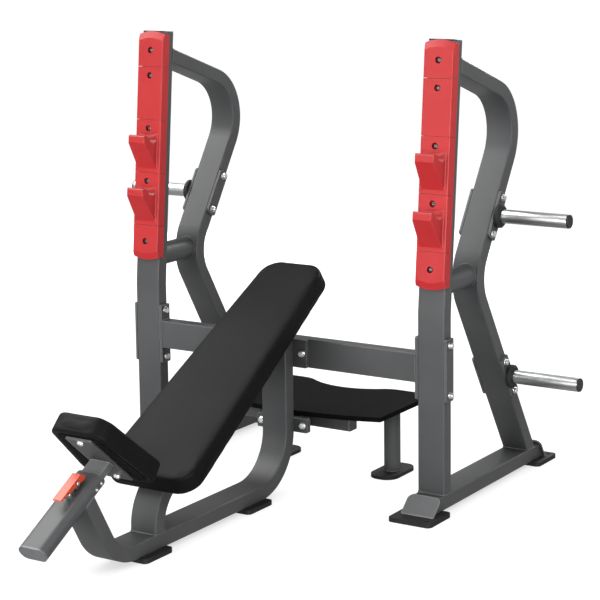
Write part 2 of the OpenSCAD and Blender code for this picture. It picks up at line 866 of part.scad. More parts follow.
module mount_plate(h, z) {
  translate([0, -mount_t, z]) rotate([-90, 0, 0]) linear_extrude(mount_t) difference() {
    rounded(mount_w, h, tube_r);
    for (x = [-1, 1]) translate([x*mount_bolt, 0]) circle(bolt_r + bolt_gap);
  }
}

module mount_bolt_sets() {
  at_mount_bolts(beam_z) translate([0, 0, -mount_t]) through_bolt(mount_t + tube_t);
  at_mount_bolts(bar_mid) translate([0, 0, -mount_t]) through_bolt(mount_t + frame_plate_t);
}

screw_x = bracket_w/2 - 2*screw_head_r;
pad_screw_l = bracket_t + board_t*0.75;

module at_pad_screws()
  for (y = [bracket_low, bracket_high], x = [-1, 1]) translate([x*screw_x, y, -under_pad]) children();

module brackets() at_pad() difference() {
  for (y = [bracket_low, bracket_high]) translate([0, y, -under_pad])
    linear_extrude(bracket_t) rounded(bracket_w, bracket_l, 2*tube_r);
  at_pad_screws() translate([0, 0, -1]) cylinder(h = bracket_t + 2, r = screw_r + bolt_gap);
}

// Outline of a pad: two ends of different width with round corners, drawn in by a
function pad_edge(k) = sqrt(1 + k*k);
function corner_x(w, k, y, r) = w/2 + k*y - r*pad_edge(k);
function arc(c, r, a0, a1, n) = [for (i = [0:n]) let (t = a0 + (a1 - a0)*i/n) c + r*[cos(t), sin(t)]];
function pad_outline(w0, w1, l, r, a) =
  let (
    k = (w1 - w0)/2/l,
    b = atan(k),
    low = [corner_x(w0, k, r, r), r],
    high = [corner_x(w0, k, l - r, r), l - r],
    right = concat(arc(low, r - a, -90, -b, corner_n), arc(high, r - a, -b, 90, corner_n))
  )
  concat(right, [for (i = [len(right) - 1:-1:0]) [-right[i][0], right[i][1]]]);
corner_n = 8;
ring_n = 4*(corner_n + 1);

// Rings of a cushion: [inset, height], from the board pocket round the edge to the crown
function pad_rings(t) = concat(
  [[rim, board_t + pad_gap], [rim, 0], [hem_r, 0]],
  [for (i = [0:side_n]) let (u = i/side_n) [pad_draw*u, hem_r + u*(t - pad_edge_r - hem_r)]],
  [for (i = [1:edge_n]) let (a = 90*i/edge_n)
    [pad_draw + pad_edge_r*(1 - cos(a)), t - pad_edge_r*(1 - sin(a))]]
);
hem_r = 2.5;
side_n = 5;
edge_n = 5;
crown_steps = [0.25, 0.55, 0.85];

function cushion_points(w0, w1, l, t, r) =
  let (
    rings = pad_rings(t),
    top = pad_outline(w0, w1, l, r, rings[len(rings) - 1][0]),
    mid = [0, l/2]
  )
  concat(
    [[mid[0], mid[1], board_t + pad_gap]],
    [for (g = rings) each [for (p = pad_outline(w0, w1, l, r, g[0])) [p[0], p[1], g[1]]]],
    [for (f = crown_steps) each [for (p = top) [
      p[0]*(1 - f), p[1] + (mid[1] - p[1])*f*0.9, t + pad_crown*(1 - (1 - f)*(1 - f))
    ]]],
    [[mid[0], mid[1], t + pad_crown]]
  );

function cushion_faces(count) = concat(
  [for (i = [0:ring_n - 1]) [0, 1 + i, 1 + (i + 1)%ring_n]],
  [for (g = [0:count - 2], i = [0:ring_n - 1]) each let (
    a = 1 + g*ring_n + i,
    b = 1 + g*ring_n + (i + 1)%ring_n
  ) [[a, a + ring_n, b], [b, a + ring_n, b + ring_n]]],
  [for (i = [0:ring_n - 1]) let (a = 1 + (count - 1)*ring_n)
    [1 + count*ring_n, a + (i + 1)%ring_n, a + i]]
);

module cushion(w0, w1, l, t, r) {
  count = len(pad_rings(t)) + len(crown_steps);
  polyhedron(cushion_points(w0, w1, l, t, r), cushion_faces(count));
}

// Board that fills a cushion's pocket, drawn with straight sides and round corners
module board(w0, w1, l, r) {
  inset = rim + pad_gap;
  k = (w1 - w0)/2/l;
  low = corner_x(w0, k, r, r);
  high = corner_x(w0, k, l - r, r);
  e = (r - inset)/pad_edge(k);
  linear_extrude(board_t) {
    polygon([
      [-low, inset], [low, inset], [low + e, r - k*e], [high + e, l - r - k*e],
      [high, l - inset], [-high, l - inset], [-high - e, l - r - k*e], [-low - e, r - k*e]
    ]);
    for (x = [-1, 1]) {
      translate([x*low, r]) circle(r - inset);
      translate([x*high, l - r]) circle(r - inset);
    }
  }
}

module back_board() at_pad() difference() {
  translate([0, 0, -pad_t]) board(pad_w_low, pad_w_high, pad_l, pad_r);
  at_pad_screws() cylinder(h = pad_screw_l + pad_gap, r = screw_r + bolt_gap);
}

module back_cushion() at_pad() translate([0, 0, -pad_t + pad_gap])
  cushion(pad_w_low, pad_w_high, pad_l, pad_t - pad_gap, pad_r);

module bench_foot(y) translate([0, -y, 0]) linear_extrude(foot_t) rounded(bench_foot_w, bench_foot_l, foot_r);

// Seat

sleeve_top = sleeve_t/2;
guide_end = 14;
guide_pitch = 27;
guide_zs = [sleeve_l - guide_end, sleeve_l - guide_end - guide_pitch];
head_sink = 0.8;
small_r = 2.5;
small_head_r = 6;
small_head = 3.5;
small_l = sleeve_wall + 4;
plunger_s = pivot_s - plunger_arm;
mouth_gap = 0.1;

module at_guides() for (s = guide_zs, x = [-1, 1])
  translate([x*(sleeve_w/2 - head_sink), s, 0]) rotate([0, -90*x, 0]) children();

module sleeve() at_sleeve() difference() {
  sleeve_outside();
  translate([0, -1, 0]) rotate([-90, 0, 0]) linear_extrude(sleeve_l + 2) oval(cavity_w, cavity_t);
  translate([0, plunger_s, 0]) cylinder(h = sleeve_t, r = plunger_r + bolt_gap);
  at_guides() {
    cylinder(h = small_l, r = small_r + bolt_gap);
    translate([0, 0, -small_head]) cylinder(h = small_head, r = small_head_r + bolt_gap);
  }
}

module end_cap() at_sleeve() rotate([-90, 0, 0]) {
  translate([0, 0, -sleeve_cap_t]) linear_extrude(sleeve_cap_t) oval(sleeve_w, sleeve_t);
  linear_extrude(4*sleeve_cap_t) oval(cavity_w - 2*mouth_gap, cavity_t - 2*mouth_gap);
}

module liner() at_sleeve() difference() {
  union() {
    translate([0, sleeve_l - liner_l, 0]) rotate([-90, 0, 0])
      linear_extrude(liner_l + sleeve_cap_t) oval(cavity_w - 2*mouth_gap, cavity_t - 2*mouth_gap);
    translate([0, sleeve_l, 0]) rotate([-90, 0, 0])
      linear_extrude(sleeve_cap_t) oval(sleeve_w - sleeve_wall, sleeve_t - sleeve_wall);
  }
  rotate([-90, 0, 0]) linear_extrude(sleeve_l + far)
    square([stem_w + 2*slide_gap, stem_t + 2*slide_gap], center = true);
  at_guides() cylinder(h = small_l + bolt_gap, r = small_r + bolt_gap);
}

module guide_screws() at_sleeve() at_guides() {
  translate([0, 0, -small_head]) cylinder(h = small_head, r1 = small_head_r*0.75, r2 = small_head_r);
  cylinder(h = small_l, r = small_r);
}

module at_seat() translate([0, seat_mid[0], seat_mid[1]]) rotate([-seat_tilt, 0, 0]) children();

module stem() {
  difference() {
    at_sleeve() translate([0, stem_start, 0]) rotate([-90, 0, 0])
      linear_extrude(seat_s - stem_start + stem_w) rounded(stem_w, stem_t, tube_r/2);
    at_seat() translate([-far, -far, 0]) cube([2*far, 2*far, far]);
    at_sleeve() translate([0, stem_start - 1, 0]) rotate([-90, 0, 0])
      linear_extrude(glide_l + 1) square([stem_w - glide_step, stem_t + 1], center = true);
  }
}
glide_step = 16;

module glide() at_sleeve() difference() {
  translate([0, stem_start, 0]) rotate([-90, 0, 0]) linear_extrude(glide_l)
    oval(cavity_w - 2*slide_gap, cavity_t - 2*slide_gap);
  translate([0, stem_start, 0]) for (x = [-1, 1]) rotate([-90, 0, 0]) linear_extrude(3*glide_l, center = true)
    translate([x*(stem_w/2 - glide_step/4 + far/2), 0]) square([glide_step/2 + far, stem_t], center = true);
}

module plate() at_seat() linear_extrude(seat_plate_t) difference() {
  rounded(seat_plate_w, seat_plate_l, tube_r);
  for (y = [-1, 1]) translate([0, y*seat_bolt]) circle(screw_r + bolt_gap);
}

seat_bolt_l = seat_plate_t + board_t*0.75;

module seat_screws() at_seat() for (y = [-1, 1]) translate([0, y*seat_bolt, 0]) {
  translate([0, 0, -washer_t]) cylinder(h = washer_t, r = washer_r);
  translate([0, 0, -washer_t - screw_head]) cylinder(h = screw_head, r = bolt_af/sqrt(3) - 1, $fn = 6);
  cylinder(h = seat_bolt_l, r = screw_r);
}

module at_seat_pad() at_seat() translate([0, -seat_l/2 - seat_ahead, seat_plate_t]) children();

module seat_base() difference() {
  at_seat_pad() board(seat_w_front, seat_w_rear, seat_l, seat_r);
  at_seat() for (y = [-1, 1]) translate([0, y*seat_bolt, 0])
    cylinder(h = seat_bolt_l + pad_gap, r = screw_r + bolt_gap);
}

module seat_cushion() at_seat_pad() translate([0, 0, pad_gap])
  cushion(seat_w_front, seat_w_rear, seat_l, seat_t - pad_gap, seat_r);

// Release lever, drawn from its pivot: x across, y along the sleeve, z up from it

module at_pivot() at_sleeve() translate([0, pivot_s, pivot_h]) children();
module along_lever(w) rotate([90, 0, 90]) linear_extrude(w, center = true) children();

nose = 24;
nose_low = 12;
nose_heel = 6;
nose_tip = 15;
nose_rise = 8;
grip_lip = 1;
grip_t = 5;
web_t = 4;
slot_r = 2.5;
slot_run = 2;
slot_gap = 0.3;
slot_d = 3;
lever_in = lever_w - 2*lever_wall;
ear_gap = 0.5;
ear_t = 4;
ear_r = 8;
lift_head = 5;

module lever_body() at_pivot() difference() {
  along_lever(lever_w) polygon([
    [nose, lever_top], [-lever_l, lever_top], [-lever_l - grip_lip, lever_top - grip_t],
    [nose + nose_heel, -nose_low], [nose + nose_tip, nose_rise - nose_low]
  ]);
  along_lever(lever_in) polygon([
    [nose - web_t, lever_top - web_t], [-lever_l + 3*grip_t, lever_top - web_t],
    [-lever_l + 3*grip_t, -far], [nose - web_t, -far]
  ]);
  along_lever(lever_w + 1) circle(pivot_r + pin_gap);
  along_lever(lever_in + 2*slot_d) {
    for (y = [-1, 1]) translate([-plunger_arm + y*slot_run, 0]) circle(slot_r + slot_gap);
    translate([-plunger_arm, 0]) square([2*slot_run, 2*slot_r + 2*slot_gap], center = true);
  }
}

pin_over = 0.5;
pin_head_t = 2;
pin_head_r = 1.6*pivot_r;

module pivot_pin() at_pivot() {
  along_lever(lever_w + 2*pin_over) circle(pivot_r);
  for (x = [-1, 1]) translate([x*(lever_w/2 + pin_over + pin_head_t/2), 0, 0])
    along_lever(pin_head_t) circle(pin_head_r);
}

module clevis() at_pivot() difference() {
  for (x = [-1, 1]) translate([x*(lever_in/2 - ear_gap - ear_t/2), 0, 0]) along_lever(ear_t) {
    circle(ear_r);
    translate([-ear_r, sleeve_top - pivot_h]) square([2*ear_r, pivot_h - sleeve_top]);
  }
  along_lever(lever_w) circle(pivot_r + pin_gap/2);
}

housing_h = 13;
housing_wall = 6;
housing_r = plunger_r + housing_wall;

module housing() at_sleeve() translate([0, plunger_s, sleeve_top]) difference() {
  cylinder(h = housing_h, r = housing_r);
  translate([0, 0, -1]) cylinder(h = housing_h + 2, r = plunger_r + pin_gap);
}

tip_gap = 0.3;
tip_h = stem_t/2 + tip_gap;

module plunger_pin() at_sleeve() translate([0, plunger_s, 0]) {
  translate([0, 0, tip_h]) cylinder(h = 1, r1 = plunger_r - 1, r2 = plunger_r);
  translate([0, 0, tip_h + 1]) cylinder(h = pivot_h + lift_head - tip_h - 1, r = plunger_r);
  translate([0, 0, pivot_h]) along_lever(lever_in + 2*slot_d - 1) circle(slot_r);
}

// Platform

wave_sum = (wave_half*wave_half + wave_d*wave_d)/2/wave_d;
wave_in = wave_sum*0.72;
wave_out = wave_sum - wave_in;
wave_mid = platform_rear - wave_d + wave_in;
wave_side = [wave_half, platform_rear - wave_out];
wave_touch = [0, wave_mid] + wave_in*away([0, wave_mid], wave_side);

// Rear wave: a hollow arc that runs into two round shoulders
module wave() {
  difference() {
    polygon([
      [-wave_half, platform_rear + 1], [wave_half, platform_rear + 1],
      wave_touch, [-wave_touch[0], wave_touch[1]]
    ]);
    for (x = [-1, 1]) translate([x*wave_side[0], wave_side[1]]) circle(wave_out);
  }
  intersection() {
    translate([0, wave_mid]) circle(wave_in);
    translate([-wave_half, 0]) square([2*wave_half, platform_rear + 1]);
  }
}

module board_outline() {
  l = platform_rear - platform_front;
  difference() {
    intersection() {
      translate([0, platform_front + l/2]) rounded(2*platform_half, l, platform_r);
      translate([0, platform_front + front_arch]) circle(front_arch, $fn = 180);
    }
    wave();
  }
}

module platform() translate([0, 0, bar_top]) linear_extrude(platform_t) board_outline();

module frame_tubes() {
  bar = bar_half - bar_cap_t;
  translate([0, bar_y + bar_t/2, bar_mid]) along_x(2*bar) rounded(bar_t, bar_t, tube_r);
  translate([-half_w, frame_plate_t/2, bar_mid - bar_t/2])
    cube([tube_w, bar_y + bar_t/2 - frame_plate_t/2, bar_t - tube_r]);
  translate([0, 0, bar_mid]) rotate([-90, 0, 0]) linear_extrude(frame_plate_t) difference() {
    rounded(mount_w, lower_mount_h, tube_r);
    for (x = [-1, 1]) translate([x*mount_bolt, 0]) circle(bolt_r + bolt_gap);
  }
}

module bar_cap() translate([bar_half - bar_cap_t/2, bar_y + bar_t/2, bar_mid])
  along_x(bar_cap_t) rounded(bar_t, bar_t, tube_r);

module at_leg() translate([leg_x, leg_y, 0]) children();

module leg() at_leg() translate([0, 0, leg_foot_t]) cylinder(h = bar_top - leg_foot_t, r = leg_r);

leg_foot_flat = 12;

module leg_foot() at_leg() linear_extrude(leg_foot_t)
  rounded(leg_foot_w, leg_foot_l, (leg_foot_w - leg_foot_flat)/2);

// Nodes

module left_post() { color("dimgray") side(-1) post(); }
module right_post() { color("dimgray") side(1) post(); }
module post_caps() { color("darkslategray") both() post_cap(); }
module left_brace() { color("dimgray") side(-1) brace(); }
module right_brace() { color("dimgray") side(1) brace(); }
module left_link() { color("dimgray") side(-1) link(); }
module right_link() { color("dimgray") side(1) link(); }
module left_base() { color("dimgray") side(-1) base(); }
module right_base() { color("dimgray") side(1) base(); }
module base_end_plates() { color("gray") both() end_plates(); }
module upright_feet() { color("black") both() feet(); }
module left_upper_hook() { color("red") side(-1) hook(1); }
module left_lower_hook() { color("red") side(-1) hook(0); }
module right_upper_hook() { color("red") side(1) hook(1); }
module right_lower_hook() { color("red") side(1) hook(0); }
module rack_plain_covers() { color("red") both() plain_cover(); }
module rack_end_covers() { color("red") both() end_covers(); }
module rack_screws() { color("silver") both() screws(); }
module plate_horns() { color("lightgray") both() at_horns() horn(); }
module horn_collars() { color("black") both() at_horns() collar(); }
module horn_caps() { color("black") both() at_horns() horn_cap(); }
module horn_flanges() { color("dimgray") both() at_horns() horn_plate(half_w); }
module horn_backing_plates() { color("dimgray") both() at_horns() horn_plate(-half_w - flange_t); }
module horn_bolts() { color("silver") both() at_horns() horn_bolt(); }
module crossbeam() { color("dimgray") whole() beam(); }
module beam_end_plates() {
  color("dimgray") both() translate([-half_w - beam_plate_t/2, 0, 0]) beam_plate(beam_plate_t);
}
module beam_backing_plates() {
  color("dimgray") both() translate([half_w + backing_t/2, 0, 0]) beam_plate(backing_t);
}
module beam_bolts() { color("silver") both() beam_bolt_set(); }
module bench_tube() { color("dimgray") whole() main_tube(); }
module pad_rail() { color("dimgray") whole() rail(); }
module bench_mount_plate() { color("dimgray") whole() mount_plate(tube_w, beam_z); }
module platform_mount_plate() { color("dimgray") whole() mount_plate(lower_mount_h, bar_mid); }
module mount_bolts() { color("silver") whole() mount_bolt_sets(); }
module pad_brackets() { color("dimgray") whole() brackets(); }
module pad_screws() {
  color("silver") whole() at_pad() at_pad_screws() button_screw(pad_screw_l);
}
module pad_board() { color("saddlebrown") whole() back_board(); }
module back_pad() { color("black") whole() back_cushion(); }
module bench_feet() {
  color("black") whole() {
    bench_foot(bench_foot_front);
    bench_foot(bench_foot_rear);
  }
}
module seat_sleeve() { color("gray") whole() sleeve(); }
module sleeve_cap() { color("gray") whole() end_cap(); }
module sleeve_liner() { color("lightgray") whole() liner(); }
module sleeve_screws() { color("silver") whole() guide_screws(); }
module lever_bracket() { color("dimgray") whole() clevis(); }
module plunger_housing() { color("dimgray") whole() housing(); }
module seat_stem() { color("gray") whole() stem(); }
module stem_glide() { color("black") whole() glide(); }
module seat_plate() { color("gray") whole() plate(); }
module seat_bolts() { color("silver") whole() seat_screws(); }
module seat_board() { color("saddlebrown") whole() seat_base(); }
module seat_pad() { color("black") whole() seat_cushion(); }
module lever() { color("orangered") whole() lever_body(); }
module lever_pin() { color("silver") whole() pivot_pin(); }
module plunger() { color("silver") whole() plunger_pin(); }
module platform_board() { color("black") whole() platform(); }
module platform_frame() { color("dimgray") whole() frame_tubes(); }
module crossbar_caps() { color("lightgray") whole() mirrored() bar_cap(); }
module platform_legs() { color("dimgray") whole() mirrored() leg(); }
module leg_feet() { color("black") whole() mirrored() leg_foot(); }

left_post();
right_post();
post_caps();
left_brace();
right_brace();
left_link();
right_link();
left_base();
right_base();
base_end_plates();
upright_feet();
left_upper_hook();
left_lower_hook();
right_upper_hook();
right_lower_hook();
rack_plain_covers();
rack_end_covers();
rack_screws();
plate_horns();
horn_collars();
horn_caps();
horn_flanges();
horn_backing_plates();
horn_bolts();
crossbeam();
beam_end_plates();
beam_backing_plates();
beam_bolts();
bench_tube();
pad_rail();
bench_mount_plate();
platform_mount_plate();
mount_bolts();
pad_brackets();
pad_screws();
pad_board();
back_pad();
bench_feet();
seat_sleeve();
sleeve_cap();
sleeve_liner();
sleeve_screws();
lever_bracket();
plunger_housing();
seat_stem();
stem_glide();
seat_plate();
seat_bolts();
seat_board();
seat_pad();
lever();
lever_pin();
plunger();
platform_board();
platform_frame();
crossbar_caps();
platform_legs();
leg_feet();
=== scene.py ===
"""Looks of the incline bench press: finishes, upholstery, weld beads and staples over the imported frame."""

import json
import math

import bmesh
import bpy
from mathutils import Matrix, Vector


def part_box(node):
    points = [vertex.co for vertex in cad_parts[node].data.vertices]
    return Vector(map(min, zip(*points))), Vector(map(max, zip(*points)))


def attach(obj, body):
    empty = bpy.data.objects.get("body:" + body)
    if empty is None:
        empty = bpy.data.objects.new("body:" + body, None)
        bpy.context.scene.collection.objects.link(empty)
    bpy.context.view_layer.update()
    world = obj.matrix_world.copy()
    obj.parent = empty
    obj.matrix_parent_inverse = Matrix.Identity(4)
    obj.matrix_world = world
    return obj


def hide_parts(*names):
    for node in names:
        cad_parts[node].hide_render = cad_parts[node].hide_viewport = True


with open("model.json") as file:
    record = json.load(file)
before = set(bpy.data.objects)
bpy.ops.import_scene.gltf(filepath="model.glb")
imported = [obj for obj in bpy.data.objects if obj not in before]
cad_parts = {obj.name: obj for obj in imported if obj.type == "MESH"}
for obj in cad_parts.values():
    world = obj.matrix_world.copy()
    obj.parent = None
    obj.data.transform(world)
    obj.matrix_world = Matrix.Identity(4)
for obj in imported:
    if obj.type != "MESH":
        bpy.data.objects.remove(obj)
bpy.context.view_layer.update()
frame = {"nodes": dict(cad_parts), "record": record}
nodes = frame["nodes"]
scene = bpy.context.scene

MM = 0.001
X_AXIS, Y_AXIS, Z_AXIS = (1, 0, 0), (0, 1, 0), (0, 0, 1)

# Sizes of the part, in millimetres, with Y measured from the front of the uprights
MIDDLE_Y = -271.232
UPRIGHT_X = 581.0
TUBE_W, TUBE_T, TUBE_R = 100.0, 50.0, 5.0
FOOT_T, BASE_TOP, BASE_MID = 15.0, 65.0, 40.0
POST_BEND_Z, POST_LEAN = 672.0, math.radians(5)
BRACE_TOP_Z, KNEE, WAIST, BRACE_FOOT = 1482.0, (605.0, 1320.0), (237.0, 748.0), (660.0, 65.0)
WAIST_R = 150.0
LINK_Z, LINK_R = 764.0, 40.0
BEAM_Z, BEAM_END_X = 488.0, 521.0
BASE_FRONT, BASE_REAR = 98.0, 755.0
FRONT_SLOPE, REAR_SLOPE, END_PLATE_T = math.radians(42), math.radians(58), 6.0
INCLINE, SEAT_TILT = math.radians(30), math.radians(-40.5)
RAIL_Y = 791.0
BACK_PAD = {"low": 363.0, "high": 246.0, "length": 1063.0, "corner": 72.0}
SEAT_PAD = {"low": 198.0, "high": 290.0, "length": 323.0, "corner": 53.0}

# How the covers are made, in millimetres: the foam's gap to the solid's faces, its mesh, and the stapled edge
FOAM_GAP, FOAM_VOXEL, STAPLED_EDGE = 1.0, 4.0, 14.0
PRESSURE, CLOTH_QUALITY, CLOTH_STEPS, SMOOTHING = 4.0, 5, 20, 2
STAPLE_INSET, STAPLE_LIFT = 15.0, 0.2


def place(x, y, z):
    """A point of the part's own measures, in the row frame."""
    return Vector((x, y - MIDDLE_Y, z)) * MM


def stand(name, data):
    """A new object in the scene."""
    made = bpy.data.objects.new(name, data)
    scene.collection.objects.link(made)
    return made


def applied(piece):
    """A piece's mesh with its modifiers applied."""
    return bpy.data.meshes.new_from_object(piece.evaluated_get(bpy.context.evaluated_depsgraph_get()))


# Materials

def linear(colour):
    """Linear RGBA of an sRGB hex colour."""
    parts = [int(colour[i:i + 2], 16) / 255 for i in (1, 3, 5)]
    return [c / 12.92 if c <= 0.04045 else ((c + 0.055) / 1.055) ** 2.4 for c in parts] + [1.0]


def per_mm(size):
    """Texture scale at which one feature is that many millimetres."""
    return 1000.0 / size


def feed(tree, node, inputs):
    """Gives a node's inputs a value, a socket to link from, or a node that stands for its first output."""
    for key, value in dict(inputs).items():
        if isinstance(value, bpy.types.Node):
            value = value.outputs[0]
        if isinstance(value, bpy.types.NodeSocket):
            tree.links.new(value, node.inputs[key])
        else:
            node.inputs[key].default_value = value


def add(tree, kind, inputs=(), **settings):
    """Adds a node with its inputs; settings are its properties."""
    made = tree.nodes.new(kind)
    for key, value in settings.items():
        setattr(made, key, value)
    feed(tree, made, inputs)
    return made


def blank(name, **surface):
    """A new material with a Principled surface and Object coordinates."""
    made = bpy.data.materials.new(name)
    made.use_nodes = True
    tree = made.node_tree
    shader = tree.nodes["Principled BSDF"]
    for key, value in surface.items():
        shader.inputs[key.replace("_", " ")].default_value = value
    return made, tree, shader, add(tree, "ShaderNodeTexCoord").outputs["Object"]


def ramp(tree, factor, stops):
    """Colours along a factor, as (position, hex) stops."""
    made = add(tree, "ShaderNodeValToRGB", {"Fac": factor})
    bar = made.color_ramp.elements
    while len(bar) < len(stops):
        bar.new(0.5)
    for stop, (at, colour) in zip(bar, stops):
        stop.position, stop.color = at, linear(colour)
    return made


def edges(tree, radius, share):
    """A share on edges, down to 0 on flat faces: partly wear that handling rubs, partly a painted highlight.
    """
    soft = add(tree, "ShaderNodeBevel", {"Radius": radius * MM}, samples=6)
    hard = add(tree, "ShaderNodeNewGeometry").outputs["Normal"]
    level = add(tree, "ShaderNodeVectorMath", {0: soft, 1: hard}, operation="DOT_PRODUCT").outputs["Value"]
    return add(tree, "ShaderNodeMapRange", {"Value": level, "From Min": 0.995, "From Max": 0.88,
                                            "To Max": share})


def painted_shade(tree, colour, reach, least):
    """Painted shade: a colour, darkened down to a least share where other faces stand nearer than a reach."""
    opened = add(tree, "ShaderNodeAmbientOcclusion", {"Distance": reach * MM}, samples=8).outputs["AO"]
    share = add(tree, "ShaderNodeMapRange", {"Value": opened, "From Min": 0.2, "To Min": least})
    return add(tree, "ShaderNodeVectorMath", {0: colour, 1: share}, operation="MULTIPLY").outputs["Vector"]


def powder_coat(name, deep, face, worn_and_lit):
    """Powder-coated steel, baked: satin grey with a fine orange peel, cloudy gloss, painted shade where other
    faces stand near, and paler edges, partly polished by handling and partly a painted highlight. The peel is
    really 1 mm and is drawn at 5 mm so that it shows."""
    made, tree, shader, at = blank(name, Metallic=0.0, IOR=1.5, Specular_IOR_Level=0.2)
    cloud = add(tree, "ShaderNodeTexNoise", {"Vector": at, "Scale": per_mm(180), "Detail": 3.0})
    peel = add(tree, "ShaderNodeTexNoise", {"Vector": at, "Scale": per_mm(5), "Detail": 2.0})
    grit = add(tree, "ShaderNodeTexNoise", {"Vector": at, "Scale": per_mm(1.2), "Detail": 1.0})
    base = ramp(tree, cloud, [(0.3, deep), (0.7, face)])
    fleck = add(tree, "ShaderNodeMapRange", {"Value": grit, "To Min": 0.94, "To Max": 1.06})
    flecked = add(tree, "ShaderNodeVectorMath", {0: base, 1: fleck}, operation="MULTIPLY")
    # Painted shade in corners and between parts
    shaded = painted_shade(tree, flecked, 220.0, 0.4)
    colour = add(tree, "ShaderNodeMix", {"Factor": edges(tree, 7.0, 0.8), 6: shaded, 7: linear(worn_and_lit)},
                 data_type="RGBA")
    gloss = add(tree, "ShaderNodeMapRange", {"Value": cloud, "To Min": 0.4, "To Max": 0.54})
    bump = add(tree, "ShaderNodeBump", {"Height": peel, "Strength": 0.25, "Distance": 0.25 * MM})
    feed(tree, shader, {"Base Color": colour.outputs[2], "Roughness": gloss, "Normal": bump})
    return made


def moulding(name, deep, face, worn_and_lit, rough, grain, shine=0.3):
    """Injection-moulded plastic: even colour with a little flow marbling, a spark-eroded skin, painted shade
    in its pockets, and paler edges, partly rubbed and partly a painted highlight. The skin's grain is really
    0.3 mm and is drawn coarser so that it shows."""
    made, tree, shader, at = blank(name, Metallic=0.0, IOR=1.49, Specular_IOR_Level=shine)
    flow = add(tree, "ShaderNodeTexNoise", {"Vector": at, "Scale": per_mm(90), "Detail": 4.0,
                                            "Distortion": 0.6})
    skin = add(tree, "ShaderNodeTexVoronoi", {"Vector": at, "Scale": per_mm(grain)})
    base = ramp(tree, flow, [(0.3, deep), (0.7, face)])
    # Painted shade in pockets and corners
    shaded = painted_shade(tree, base, 16.0, 0.25)
    colour = add(tree, "ShaderNodeMix", {"Factor": edges(tree, 2.5, 0.5), 6: shaded, 7: linear(worn_and_lit)},
                 data_type="RGBA")
    gloss = add(tree, "ShaderNodeMapRange", {"Value": skin, "To Min": rough - 0.05, "To Max": rough + 0.06})
    bump = add(tree, "ShaderNodeBump", {"Height": skin, "Strength": 0.2, "Distance": 0.15 * MM})
    feed(tree, shader, {"Base Color": colour.outputs[2], "Roughness": gloss, "Normal": bump})
    return made


def rubber(name, deep, face):
    """Moulded rubber: dull near-black with a pebbled skin and a pale bloom in patches."""
    made, tree, shader, at = blank(name, Metallic=0.0, IOR=1.52, Specular_IOR_Level=0.2)
    bloom = add(tree, "ShaderNodeTexNoise", {"Vector": at, "Scale": per_mm(60), "Detail": 5.0})
    pebble = add(tree, "ShaderNodeTexVoronoi", {"Vector": at, "Scale": per_mm(3.5)})
    colour = ramp(tree, bloom, [(0.35, deep), (0.75, face)])
    dull = add(tree, "ShaderNodeMapRange", {"Value": bloom, "To Min": 0.55, "To Max": 0.75})
    bump = add(tree, "ShaderNodeBump", {"Height": pebble, "Strength": 0.35, "Distance": 0.3 * MM})
    feed(tree, shader, {"Base Color": colour, "Roughness": dull, "Normal": bump})
    return made


def plated(name, face, dull, low, high, lines):
    """Plated steel: metal with fine turned or drawn lines in its gloss and a cloudy bloom from handling. The
    softened normal carries reflections evenly over round faces and polished corners."""
    made, tree, shader, at = blank(name, Metallic=1.0)
    stretch = add(tree, "ShaderNodeMapping", {"Vector": at, "Scale": lines})
    line = add(tree, "ShaderNodeTexNoise", {"Vector": stretch, "Scale": per_mm(2), "Detail": 3.0})
    cloud = add(tree, "ShaderNodeTexNoise", {"Vector": at, "Scale": per_mm(25), "Detail": 3.0})
    colour = ramp(tree, cloud, [(0.3, dull), (0.65, face)])
    gloss = add(tree, "ShaderNodeMapRange", {"Value": line, "To Min": low, "To Max": high})
    soft = add(tree, "ShaderNodeBevel", {"Radius": 3.5 * MM}, samples=12)
    feed(tree, shader, {"Base Color": colour, "Roughness": gloss, "Normal": soft})
    return made


def vinyl(name, deep, face):
    """Coated upholstery cloth, embossed: soft black with a leather grain of about 1.5 mm, drawn at 3 mm so
    that it shows, and a gloss that varies in broad patches."""
    made, tree, shader, at = blank(name, Metallic=0.0, IOR=1.47, Specular_IOR_Level=0.06)
    grain = add(tree, "ShaderNodeTexVoronoi", {"Vector": at, "Scale": per_mm(3)}, feature="DISTANCE_TO_EDGE")
    crease = add(tree, "ShaderNodeMapRange", {"Value": grain.outputs["Distance"], "From Max": 0.18})
    cloud = add(tree, "ShaderNodeTexNoise", {"Vector": at, "Scale": per_mm(140), "Detail": 4.0})
    base = ramp(tree, cloud, [(0.3, deep), (0.7, face)])
    # Painted shade in the creases of the grain
    shade = add(tree, "ShaderNodeMapRange", {"Value": crease, "To Min": 0.82, "To Max": 1.0})
    colour = add(tree, "ShaderNodeVectorMath", {0: base, 1: shade}, operation="MULTIPLY")
    gloss = add(tree, "ShaderNodeMapRange", {"Value": cloud, "To Min": 0.46, "To Max": 0.6})
    bump = add(tree, "ShaderNodeBump", {"Height": crease, "Strength": 0.3, "Distance": 0.2 * MM})
    feed(tree, shader, {"Base Color": colour, "Roughness": gloss, "Normal": bump})
    return made


def lining(name, deep, face):
    """Black dust-cover cloth stapled over the plywood boards: a plain weave. Its threads are really 1 mm and
    are drawn at 4 mm so that they show."""
    made, tree, shader, at = blank(name, Metallic=0.0, IOR=1.46, Roughness=0.85, Specular_IOR_Level=0.1)
    across, along = [add(tree, "ShaderNodeTexWave", {"Vector": at, "Scale": per_mm(4) / 20},
                         bands_direction=axis).outputs["Fac"] for axis in "XY"]
    weave = add(tree, "ShaderNodeMath", {0: across, 1: along}, operation="MULTIPLY")
    colour = ramp(tree, weave, [(0.0, deep), (1.0, face)])
    bump = add(tree, "ShaderNodeBump", {"Height": weave, "Strength": 0.3, "Distance": 0.3 * MM})
    feed(tree, shader, {"Base Color": colour, "Normal": bump})
    return made


